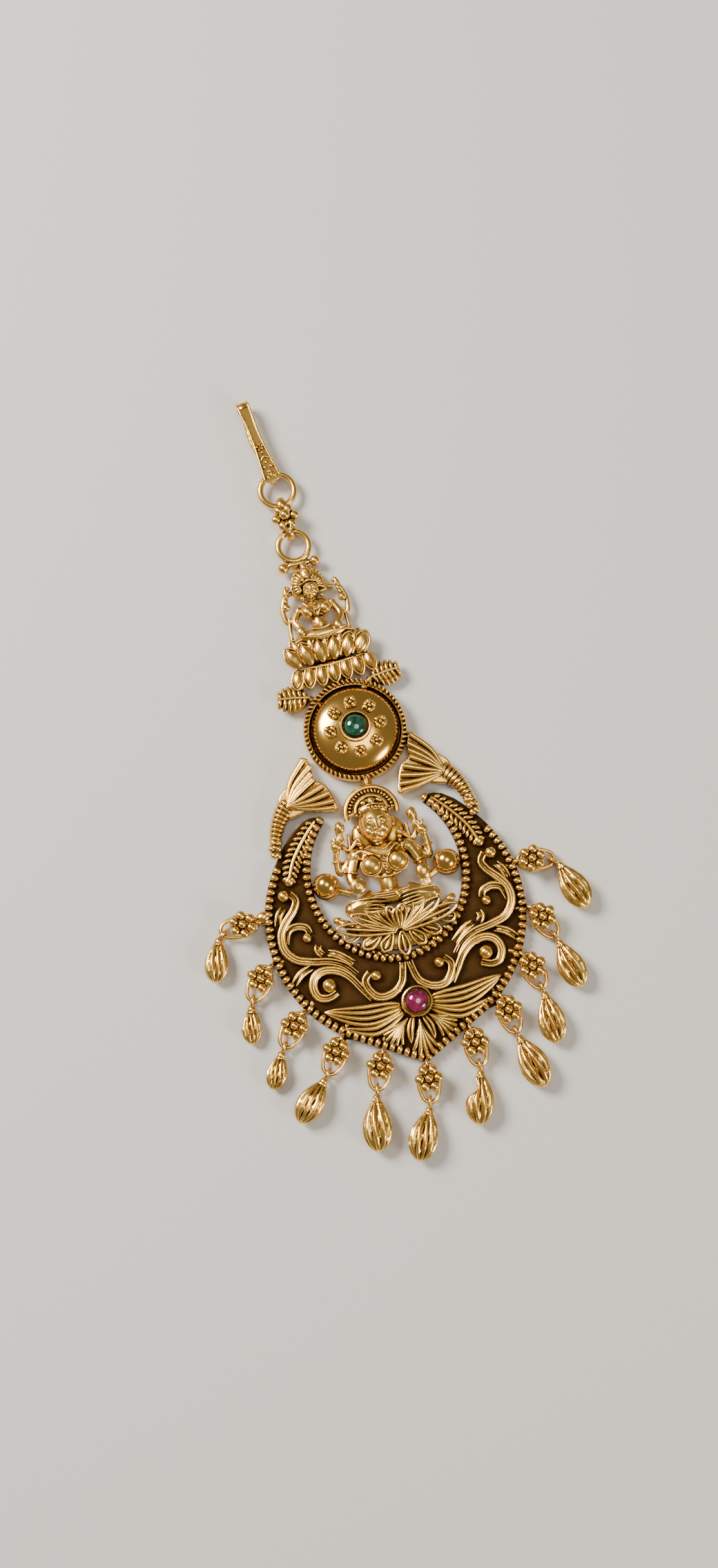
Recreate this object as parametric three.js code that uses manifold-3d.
// Maang tikka: a forehead jewel lying on its back, face up.
// Millimetres, +Z up, +Y towards the hair hook. The origin is the centre of the domed disc's flat back.
import * as THREE from 'three';
import { mergeVertices } from 'three/addons/utils/BufferGeometryUtils.js';
import Module from 'manifold-3d';

const wasm = await Module();
wasm.setup();

// ---- driving dimensions ----
const GAP = 0.3; // clearance between pieces that touch or hang in each other
const PLATE = 1.2; // thickness of the crescent plate
const BORDER = 1.9; // height of the raised borders
const BORDER_WIDTH = 0.9;

const DISC = { radius: 7.55, rimWidth: 0.7, rimTop: 2.8, domeRadius: 6.3, plateau: 4.6, domeTop: 4.0 };
const STONE = { radius: 1.6, girdle: 0.4, crown: 0.8, wall: 0.5 };
const GREEN_BASE = DISC.domeTop + GAP; // height of the green stone's underside
const RED = { x: 0.3, y: -40.4, base: 2.2 };

const CRESCENT = { y: -27.6, radius: 18.75, pointY: -49.0 };
const OPENING = { y: -21.15, halfWidth: 10.85, halfHeight: 12.0 };
const HORN = { x: 8.95, y: -12.95, radius: 1.75 };

const EYE = { wire: 0.26, loop: 0.88, z: 1.15 }; // wire radius and centre-line radius of a drop's eye
const LINK = { wire: 0.28, halfLength: 2.65, halfWidth: 1.5, toFlower: 2.0 };
const BUD = { radius: 1.75, lobe: 0.35, low: 2.5, high: 3.2 }; // a flower's petals
const DROP = { length: 7.9, radius: 2.25, thickness: 0.8 };
const CHAIN_Z = 1.6; // height of the wire rings above the flower link
const RING_WIRE = 0.47;
const TOP_RING = { x: -3.15, y: 29.0, radius: 2.28 };
const CONNECTOR = { x: -3.75, y: 37.9, radius: 2.52 };
const LOOP = { hole: RING_WIRE + GAP + 0.1, wall: 0.45 };
const LEAN = 5; // degrees that the upper figure leans to the left

const LINK_FLOWER = { low: 2.6, high: 3.5 };
const HOOK = {
  length: 12.2, bend: 1.35, wall: 0.6, tab: 2.8, waist: 1.6, head: 1.9, leafLow: 2.45, leafTop: 3.1, lean: 10,
};

const LOOKS = {
  frame: { color: 0xc8963c, roughness: 0.32, metalness: 1.0 },
  ring: { color: 0xd9a94e, roughness: 0.28, metalness: 1.0 },
  drop: { color: 0xe0b560, roughness: 0.28, metalness: 1.0 },
  green: { color: 0x0f6b4c, roughness: 0.12, metalness: 0.0 },
  red: { color: 0xa0185a, roughness: 0.12, metalness: 0.0 },
};

// ---- shapes as solids ----
const rad = THREE.MathUtils.degToRad;

function solid(geometry) {
  const shape = geometry.index ? geometry.toNonIndexed() : geometry;
  shape.deleteAttribute('normal');
  shape.deleteAttribute('uv');
  const merged = mergeVertices(shape, 1e-4);
  return new wasm.Manifold(new wasm.Mesh({
    numProp: 3,
    vertProperties: new Float32Array(merged.attributes.position.array),
    triVerts: new Uint32Array(merged.index.array),
  }));
}

// turn is in degrees about Z, and is made before the move
function put(geometry, x, y, z, turn = 0) {
  return solid(geometry.rotateZ(rad(turn)).translate(x, y, z));
}

function join(solids) {
  return solids.reduce((whole, next) => whole.add(next));
}

function mirrored(solidOnRight) {
  return [solidOnRight, solidOnRight.mirror([1, 0, 0])];
}

function ball(x, y, z, radius) {
  return put(new THREE.SphereGeometry(radius, 7, 4), x, y, z);
}

function pebble(x, y, z, size, turn = 0) {
  return put(new THREE.SphereGeometry(1, 6, 4).rotateX(Math.PI / 2).scale(...size), x, y, z, turn);
}

function slab(shape, low, high, segments = 8) {
  const depth = high - low;
  const options = { depth, bevelEnabled: false, curveSegments: segments };
  return put(new THREE.ExtrudeGeometry(shape, options), 0, 0, low);
}

function block(x, y, size, low, high, turn = 0) {
  return put(new THREE.BoxGeometry(size[0], size[1], high - low), x, y, (low + high) / 2, turn);
}

// a wire through points [x, y, z], with 4 or 6 sides
function wire(points, radius, steps, sides = 4, closed = false) {
  const spots = points.map((p) => new THREE.Vector3(...p));
  const path = new THREE.CatmullRomCurve3(spots, closed, 'centripetal');
  const section = new THREE.Shape().absarc(0, 0, radius, 0, 2 * Math.PI);
  return solid(new THREE.ExtrudeGeometry(section, { extrudePath: path, steps, curveSegments: sides / 2 }));
}

function flatWire(points, z, radius, steps) {
  return wire(points.map(([x, y]) => [x, y, z]), radius, steps);
}

// a ring lying flat
function flatRing(x, y, z, radius, wireRadius) {
  return put(new THREE.TorusGeometry(radius, wireRadius, 6, 18), x, y, z);
}

// a wire eye standing on edge, open across the direction of travel
function standingEye(x, y, heading) {
  const torus = new THREE.TorusGeometry(EYE.loop, EYE.wire, 4, 8);
  return put(torus.rotateX(Math.PI / 2), x, y, EYE.z, heading);
}

// a flat strap bent into a standing loop around a ring, heading as for standingEye
function strapLoop(x, y, z, width, heading) {
  const outer = LOOP.hole + LOOP.wall;
  const band = new THREE.Shape().absarc(0, 0, outer, 0, 2 * Math.PI);
  band.holes.push(new THREE.Path().absarc(0, 0, LOOP.hole, 0, 2 * Math.PI));
  const options = { depth: width, bevelEnabled: false, curveSegments: 6 };
  const strap = new THREE.ExtrudeGeometry(band, options).translate(0, 0, -width / 2);
  return put(strap.rotateX(Math.PI / 2), x, y, z, heading);
}

function lathe(profile, segments) {
  const points = profile.map(([r, z]) => new THREE.Vector2(r, z));
  return new THREE.LatheGeometry(points, segments).rotateX(Math.PI / 2);
}

function curve(points) {
  const shape = new THREE.Shape();
  shape.setFromPoints(new THREE.CatmullRomCurve3(
    points.map(([x, y]) => new THREE.Vector3(x, y, 0)), true, 'centripetal',
  ).getPoints(points.length).slice(0, -1).map((p) => new THREE.Vector2(p.x, p.y)));
  return shape;
}

// ---- settings and stones ----
function bezel(x, y, low, base) {
  const inner = STONE.radius + GAP;
  const outer = inner + STONE.wall;
  const top = base + STONE.girdle + 0.1;
  const floor = base - GAP;
  const profile = [[0, low], [outer, low], [outer, top], [inner, top], [inner, floor], [0, floor]];
  return put(lathe(profile, 14), x, y, 0);
}

function cabochon(x, y, base) {
  const profile = [[0, base], [STONE.radius, base], [STONE.radius, base + STONE.girdle]];
  for (const lift of [30, 60]) {
    const rise = STONE.crown * Math.sin(rad(lift));
    profile.push([STONE.radius * Math.cos(rad(lift)), base + STONE.girdle + rise]);
  }
  profile.push([0, base + STONE.girdle + STONE.crown]);
  return put(lathe(profile, 14), x, y, 0);
}

// ---- the domed disc ----
function disc() {
  const { radius, rimWidth, rimTop, domeRadius, plateau, domeTop } = DISC;
  const spring = rimTop - 1.0;
  const profile = [[0, 0], [radius - 0.3, 0], [radius, 0.8], [radius, rimTop], [radius - rimWidth, rimTop],
    [domeRadius, spring], [0.85 * domeRadius, spring + 0.55 * (domeTop - spring)], [plateau, domeTop - 0.3],
    [plateau - 0.2, domeTop], [0, domeTop]];
  return [put(lathe(profile, 28), 0, 0, 0), bezel(0, 0, 1, GREEN_BASE)];
}

// ---- the crescent plate ----
// a circle with a point at its foot, where two tangents meet
function teardrop(radius, pointY) {
  const spread = Math.acos(radius / (CRESCENT.y - pointY));
  const start = spread - Math.PI / 2;
  const shape = new THREE.Shape();
  shape.moveTo(0, pointY);
  shape.lineTo(radius * Math.cos(start), CRESCENT.y + radius * Math.sin(start));
  shape.absarc(0, CRESCENT.y, radius, start, Math.PI - start);
  return shape;
}

function crescentBand(low, high, outerInset, innerOutset) {
  const whole = slab(teardrop(CRESCENT.radius - outerInset, CRESCENT.pointY + outerInset), low, high, 16);
  const hole = new THREE.Shape();
  hole.absellipse(0, OPENING.y, OPENING.halfWidth + innerOutset, OPENING.halfHeight + innerOutset,
    0, 2 * Math.PI);
  return whole.subtract(slab(hole, low - 1, high + 1, 12));
}

function crescent() {
  const aboveHorns = block(0, HORN.y + 10, [60, 20], -1, 5);
  const plate = crescentBand(0, PLATE, 0, 0);
  const field = crescentBand(PLATE - 0.2, BORDER + 1, BORDER_WIDTH, BORDER_WIDTH);
  const borders = crescentBand(PLATE - 0.2, BORDER, 0, 0).subtract(field);
  const tip = put(new THREE.CylinderGeometry(HORN.radius, HORN.radius, BORDER, 12).rotateX(Math.PI / 2),
    HORN.x, HORN.y, BORDER / 2);
  return [plate.add(borders).subtract(aboveHorns), ...mirrored(tip)];
}

// scrolls on the right half: centre line, then the ball that ends it
const SCROLLS = [
  { line: [[14.3, -21.3], [13.6, -22.7], [16.7, -28], [15.3, -31], [10.5, -32.3], [7.1, -34.9]],
    end: [15.3, -21.7, 0.9] },
  { line: [[5.8, -38.7], [8.2, -35.1], [11.8, -33.4], [13.6, -35.6], [12.2, -37.2]],
    end: [11.4, -35.6, 1.1] },
  { line: [[0.5, -34.5], [1.4, -37.4], [4.0, -38.7], [6.2, -36.6]], end: [4.6, -35.6, 0.9] },
];

function scrollwork() {
  const parts = [];
  for (const { line, end } of SCROLLS) {
    const [x, y, radius] = end;
    parts.push(flatWire(line, 1.5, 0.5, Math.round(1.6 * line.length)), ball(x, y, 1.6, radius));
  }
  const fern = flatWire([[8.9, -12.6], [11.6, -15.2], [13.4, -18.6], [14, -20.2]], 1.5, 0.7, 6);
  return mirrored(join([...parts, fern]));
}

// leaves and petals that fan out from the red stone: centre, half length, half width, turn, height
const FAN = [
  { x: 7.2, y: -40.2, length: 5.2, width: 1.1, turn: 2, top: 2.4 },
  { x: 3.5, y: -43.7, length: 2.4, width: 1.5, turn: -48, top: 2.4 },
];

function fan() {
  const right = FAN.map(({ x, y, length, width, turn, top }) => (
    pebble(x, y, PLATE, [length, width, top - PLATE], turn)));
  const middle = pebble(0.1, -45.4, PLATE, [1.9, 3.2, 1.15]);
  return [...mirrored(join(right)), middle, bezel(RED.x, RED.y, 0.6, RED.base)];
}

// ---- fish tails between the disc and the horns ----
function fishTail() {
  const fin = curve([[6.6, -2.4], [8.2, -2.0], [9.5, -4.2], [12.6, -7.2], [11.4, -10.1], [8.5, -9.3],
    [5.0, -10.5], [4.6, -8.6], [5.3, -6.7], [7.1, -5.8], [6.4, -3.9]]);
  const body = [];
  for (let ring = 0; ring < 4; ring += 1) {
    const t = ring / 3;
    const size = [1.9 - 0.5 * t, 1.4, 1.2];
    body.push(pebble(11.9 + 2.8 * t - 0.5 * t * t, -8.8 - 6.0 * t, 1.2, size, -38 - 34 * t));
  }
  return mirrored(join([slab(fin, 0.2, 1.9, 4), ...body]));
}

// ---- seated figures on lotus thrones ----
// petals stand in a row along a shallow arc
function petalRow({ count, y, halfSpan, sag, size, z }) {
  const petals = [];
  for (let i = 0; i < count; i += 1) {
    const t = (2 * i) / (count - 1) - 1;
    petals.push(pebble(halfSpan * t, y + sag * t * t, z, size, -28 * t));
  }
  return petals;
}

function lowerFigure() {
  const halo = new THREE.Shape().absarc(-0.3, -12.4, 4.0, 0, Math.PI);
  const lotus = [
    ...petalRow({ count: 5, y: -28.6, halfSpan: 7.0, sag: 1.2, size: [1.8, 1.9, 1.5], z: 1.7 }),
    ...petalRow({ count: 5, y: -31.2, halfSpan: 6.6, sag: 1.7, size: [1.6, 1.8, 1.2], z: 1.3 }),
    block(0, -29, [15.5, 2.6], 0, 2.0),
    block(0, -32, [4, 4.4], 0, 1.2),
  ];
  const body = [
    pebble(0, -25.8, 2.0, [6.6, 1.6, 1.7]), // crossed legs
    pebble(0, -23.2, 1.9, [1.5, 2.4, 1.5]), // waist
    pebble(0, -19.0, 1.9, [4.3, 2.6, 1.7]), // chest
    ball(-2.0, -19.9, 2.9, 1.45),
    ball(2.0, -19.9, 2.9, 1.45),
    pebble(0, -14.2, 2.5, [2.5, 2.9, 2.2]), // head
    pebble(0, -17.0, 1.9, [1.5, 1.6, 1.3]), // neck
    slab(halo, 0.3, 2.6),
    block(0.1, -8.6, [1.4, 3.4], 0.3, 1.8), // peg up to the disc
  ];
  const arm = join([
    flatWire([[4.2, -18.2], [5.4, -20.8], [4.6, -22.6]], 1.9, 0.85, 5),
    pebble(4.9, -22.9, 1.9, [1.1, 1.7, 1.1]), // lowered palm
    flatWire([[4.0, -18.4], [6.2, -19.2], [6.3, -16.6], [5.2, -14.2]], 1.4, 0.75, 5),
    ball(5.0, -13.8, 1.6, 1.0), // bud in the raised hand
    pebble(3.0, -16.4, 1.5, [0.8, 1.3, 1.1]), // earring
    // stays from the raised arm to the seat, and from the lotus to the crescent
    flatWire([[6.4, -19.4], [5.8, -21.6], [5.6, -25.0]], 0.9, 0.6, 4),
    flatWire([[8.0, -28.6], [10.2, -29.2], [11.4, -29.6]], 0.9, 0.7, 3),
  ]);
  const polishedBall = join([
    ball(8.75, -21.3, 2.0, 1.85),
    flatWire([[8.75, -21.3], [11.3, -21.6]], 1.2, 0.6, 2),
  ]);
  return [...lotus, ...body, ...mirrored(arm), ...mirrored(polishedBall)];
}

function upperFigure() {
  const lotus = [
    ...petalRow({ count: 5, y: 2.9, halfSpan: 4.6, sag: 0.5, size: [1.4, 2.1, 1.3], z: 1.8 }),
    ...petalRow({ count: 5, y: 0.6, halfSpan: 4.8, sag: 0.4, size: [1.3, 1.5, 1.1], z: 1.2 }),
    block(0, 2.6, [11.0, 3.4], 0, 2.0),
  ];
  const body = [
    pebble(0, 5.6, 1.8, [4.2, 1.2, 1.5]), // crossed legs
    pebble(0, 8.2, 1.7, [1.4, 2.6, 1.3]), // waist
    pebble(0, 10.4, 1.8, [2.9, 1.7, 1.5]), // chest
    pebble(0, 13.6, 2.2, [1.4, 1.7, 1.6]), // head
    pebble(0, 15.4, 1.5, [2.7, 3.0, 1.3]), // crown
  ];
  const arm = join([
    flatWire([[2.2, 10.8], [3.4, 9.2], [3.0, 7.4]], 1.8, 0.7, 5),
    ball(3.0, 7.2, 1.8, 1.1),
    flatWire([[2.1, 15.4], [4.4, 12.4], [4.2, 9.4], [4.3, 5.6]], 1.1, 0.65, 6),
    ball(2.5, 18.0, 1.4, 0.85),
    block(1.3, 17.6, [2.6, 1.0], 0.6, 1.6),
  ]);
  const upright = [...lotus, ...body, ...mirrored(arm)];
  return [join(upright).rotate([0, 0, LEAN]).translate([-1.1, 8.1, 0])];
}

// a veined leaf on each side, joining the disc to the upper lotus
function leaves() {
  return [
    pebble(-8.0, 6.7, 1.1, [2.4, 2.0, 1.0], 10),
    pebble(5.9, 7.9, 1.1, [2.3, 1.9, 1.0], 8),
    wireStay(-6.2, 5.2, -6.0, 8.4),
    wireStay(4.6, 6.0, 4.4, 9.6),
    wireStay(-1.6, 7.0, -1.6, 8.6),
  ];
}

function wireStay(x0, y0, x1, y1) {
  return flatWire([[x0, y0], [x1, y1]], 0.9, 0.6, 2);
}

// ---- flower-and-drop chains: flower centre, headings of the link and of the hanging drop, drop scale ----
// A heading is in degrees, 0 towards +X and 270 towards the foot of the jewel.
const CHAINS = [
  { x: -21.7, y: -24.6, link: 182, hang: 254, size: 0.80 },
  { x: -20.7, y: -32.7, link: 233, hang: 260, size: 0.68 },
  { x: -17.4, y: -40.2, link: 230, hang: 244, size: 0.68 },
  { x: -12.4, y: -45.0, link: 238, hang: 227, size: 0.90 },
  { x: -6.7, y: -48.3, link: 248, hang: 260, size: 1.0 },
  { x: -0.4, y: -51.4, link: 263, hang: 246, size: 0.96 },
  { x: 7.1, y: -47.8, link: 272, hang: 256, size: 0.96 },
  { x: 12.7, y: -44.3, link: 278, hang: 286, size: 1.0 },
  { x: 17.4, y: -39.0, link: 285, hang: 272, size: 0.93 },
  { x: 20.4, y: -32.4, link: 294, hang: 284, size: 0.93 },
  { x: 20.8, y: -23.9, link: 352, hang: 290, size: 0.96 },
];
const DROP_PROFILE = [
  { along: 0.05, out: 0.25 },
  { along: 0.36, out: 0.8 },
  { along: 0.62, out: 1.0 },
  { along: 0.86, out: 0.68 },
];

function heading(x, y, degrees, distance) {
  return [x + distance * Math.cos(rad(degrees)), y + distance * Math.sin(rad(degrees))];
}

// a point of a chain's own frame, where the flower is the origin and the link runs along -Y
function onChain({ x, y, link }, [alongX, alongY]) {
  const turn = rad(link + 90);
  return [
    x + alongX * Math.cos(turn) - alongY * Math.sin(turn),
    y + alongX * Math.sin(turn) + alongY * Math.cos(turn),
  ];
}

// the point of a link's oval whose outward normal has the given heading, in the chain's frame
function ovalPoint(degrees) {
  const [nx, ny] = heading(0, 0, degrees, 1);
  const reach = Math.hypot(LINK.halfWidth * nx, LINK.halfLength * ny);
  return [
    LINK.halfWidth ** 2 * nx / reach,
    LINK.toFlower - LINK.halfLength + LINK.halfLength ** 2 * ny / reach,
  ];
}

// eyes on the plate's edge, one for each flower, turned halfway between the link and the plate's centre
function rimEyes() {
  const parts = [];
  for (const chain of CHAINS) {
    const inward = THREE.MathUtils.radToDeg(Math.atan2(CRESCENT.y - chain.y, -chain.x));
    const turn = (THREE.MathUtils.euclideanModulo(inward - chain.link, 360) - 180) / 2;
    const [x, y] = onChain(chain, ovalPoint(90 + turn));
    const back = chain.link + 180 + turn;
    parts.push(standingEye(x, y, back));
    parts.push(flatWire([heading(x, y, back, EYE.loop), heading(x, y, inward, 2.4)], 0.9, 0.45, 1));
  }
  return parts;
}

function pendantFrame() {
  const ring = flatRing(TOP_RING.x, TOP_RING.y, CHAIN_Z, TOP_RING.radius, RING_WIRE);
  const foot = pebble(TOP_RING.x, TOP_RING.y - TOP_RING.radius - 0.5, 1.4, [2.2, 0.7, 0.7], LEAN);
  return join([...disc(), ...crescent(), ...scrollwork(), ...fan(), ...fishTail(), ...lowerFigure(),
    ...upperFigure(), ...leaves(), ...rimEyes(), ring, foot]);
}

// ---- the hanging flowers and drops ----
// six rounded petals round a raised middle
function petals(low, high, stretch = 1) {
  const outline = [];
  for (let angle = 0; angle < 360; angle += 30) {
    const [x, y] = heading(0, 0, angle, BUD.radius + BUD.lobe * Math.cos(rad(6 * angle)));
    outline.push(new THREE.Vector2(x, y * stretch));
  }
  return [slab(new THREE.Shape(outline), low, high), pebble(0, 0, high - 0.1, [0.8, 0.8, 0.6])];
}

// an oval wire ring from y = LINK.toFlower down to its far end, with the flower at the origin
function flower() {
  const points = [];
  for (let angle = 0; angle < 360; angle += 30) points.push([...ovalPoint(angle), EYE.z]);
  const bar = block(0, 0, [3.1, 0.8], 0.95, BUD.low + 0.2);
  return join([wire(points, LINK.wire, 10, 4, true), bar, ...petals(BUD.low, BUD.high)]);
}

// the drop hangs along -Y from its eye at the origin; bend turns the eye towards the link
function drop(scale, bend) {
  const profile = [[0, 0]];
  for (const { along, out } of DROP_PROFILE) {
    profile.push([out * DROP.radius * scale, along * DROP.length * scale]);
  }
  profile.push([0, DROP.length * scale]);
  const [x, y] = heading(0, 0, bend - 90, EYE.loop);
  const bodyZ = DROP.radius * DROP.thickness * scale;
  const body = put(lathe(profile, 8).rotateX(Math.PI / 2).scale(1, 1, DROP.thickness), x, y, bodyZ);
  const neck = pebble(x, y - 0.2, (EYE.z + bodyZ) / 2, [0.55, 0.7, 0.6]);
  return join([body, standingEye(0, 0, bend - 90), neck]);
}

// ---- rings, link and hook ----
function flowerLink(length) {
  const loops = [-length / 2, length / 2].map((y) => strapLoop(0, y, CHAIN_Z, 1.2, 90));
  const bar = block(0, 0, [1.5, length - 2 * LOOP.hole - 0.4], 0.6, 3.0);
  return join([...loops, bar, ...petals(LINK_FLOWER.low, LINK_FLOWER.high, 1.15)]);
}

// the hook's strap starts in a loop at the origin and runs along +Y, over a bend and back underneath
function hairHook() {
  const { length, bend, wall, tab, waist, head, leafLow, leafTop } = HOOK;
  const end = length - bend;
  const leaf = new THREE.Shape();
  leaf.moveTo(-tab / 2, -1.0);
  leaf.quadraticCurveTo(0, -1.7, tab / 2, -1.0);
  leaf.quadraticCurveTo(waist / 2, 3, waist / 2, 5.5);
  leaf.quadraticCurveTo(head / 2, 8.5, head / 2, end);
  leaf.lineTo(-head / 2, end);
  leaf.quadraticCurveTo(-head / 2, 8.5, -waist / 2, 5.5);
  leaf.quadraticCurveTo(-waist / 2, 3, -tab / 2, -1.0);
  const arch = new THREE.Shape().absarc(0, 0, bend, -Math.PI / 2, Math.PI / 2);
  arch.absarc(0, 0, bend - wall, Math.PI / 2, -Math.PI / 2, true);
  const turn = new THREE.ExtrudeGeometry(arch, { depth: head, bevelEnabled: false, curveSegments: 10 });
  turn.translate(0, 0, -head / 2).rotateX(Math.PI / 2);
  const returnZ = leafTop - 2 * bend + wall / 2;
  return join([
    strapLoop(0, 0, CHAIN_Z, 1.2, 90),
    slab(leaf, leafLow, leafTop, 6),
    put(turn, 0, end, leafTop - bend, 90),
    wire([[-0.2, end, returnZ], [-0.5, end - 3, returnZ], [-0.6, 4.2, returnZ]], wall * 0.75, 6),
    block(0, 1.1, [1.6, 0.8], CHAIN_Z + 0.5, leafTop),
  ]);
}

// ---- the assembly ----
function toMesh(name, whole, look) {
  const { vertProperties, triVerts } = whole.getMesh();
  const geometry = new THREE.BufferGeometry();
  geometry.setAttribute('position', new THREE.BufferAttribute(vertProperties, 3));
  geometry.setIndex(new THREE.BufferAttribute(triVerts, 1));
  geometry.computeVertexNormals();
  const { color, roughness, metalness } = LOOKS[look];
  const mesh = new THREE.Mesh(geometry, new THREE.MeshStandardMaterial({ color, roughness, metalness }));
  mesh.name = name;
  return mesh;
}

const tikka = new THREE.Group();
tikka.add(toMesh('pendant_frame', pendantFrame(), 'frame'));
tikka.add(toMesh('green_stone', cabochon(0, 0, GREEN_BASE), 'green'));
tikka.add(toMesh('red_stone', cabochon(RED.x, RED.y, RED.base), 'red'));

const flowerSolid = flower();
CHAINS.forEach(({ x, y, link, hang, size }, index) => {
  const number = String(index + 1).padStart(2, '0');
  const chain = new THREE.Group();
  chain.position.set(x, y, 0);
  chain.rotation.z = rad(link + 90);

  const bend = (link - hang) / 2;
  const dropMesh = toMesh(`drop_${number}`, drop(size, bend), 'drop');
  dropMesh.position.set(...ovalPoint(-90 - bend), 0);
  dropMesh.rotation.z = rad(hang - link);
  chain.add(toMesh(`flower_${number}`, flowerSolid, 'ring'), dropMesh);
  tikka.add(chain);
});

// the flower link runs from the top ring to the connector ring, and the hook leads on from there
const riseX = CONNECTOR.x - TOP_RING.x;
const riseY = CONNECTOR.y - TOP_RING.y;
const rise = Math.hypot(riseX, riseY);
const start = TOP_RING.radius / rise;
const stop = 1 - CONNECTOR.radius / rise;
const linkMesh = toMesh('flower_link', flowerLink((stop - start) * rise), 'ring');
linkMesh.position.set(TOP_RING.x + riseX * (start + stop) / 2, TOP_RING.y + riseY * (start + stop) / 2, 0);
linkMesh.rotation.z = Math.atan2(riseY, riseX) - Math.PI / 2;
tikka.add(linkMesh);

const connector = flatRing(0, 0, 0, CONNECTOR.radius, RING_WIRE);
const connectorMesh = toMesh('connector_ring', connector, 'ring');
connectorMesh.position.set(CONNECTOR.x, CONNECTOR.y, CHAIN_Z);
tikka.add(connectorMesh);

const hookMesh = toMesh('hair_hook', hairHook(), 'ring');
hookMesh.position.set(...heading(CONNECTOR.x, CONNECTOR.y, 90 + HOOK.lean, CONNECTOR.radius), 0);
hookMesh.rotation.z = rad(HOOK.lean);
tikka.add(hookMesh);

export default tikka;
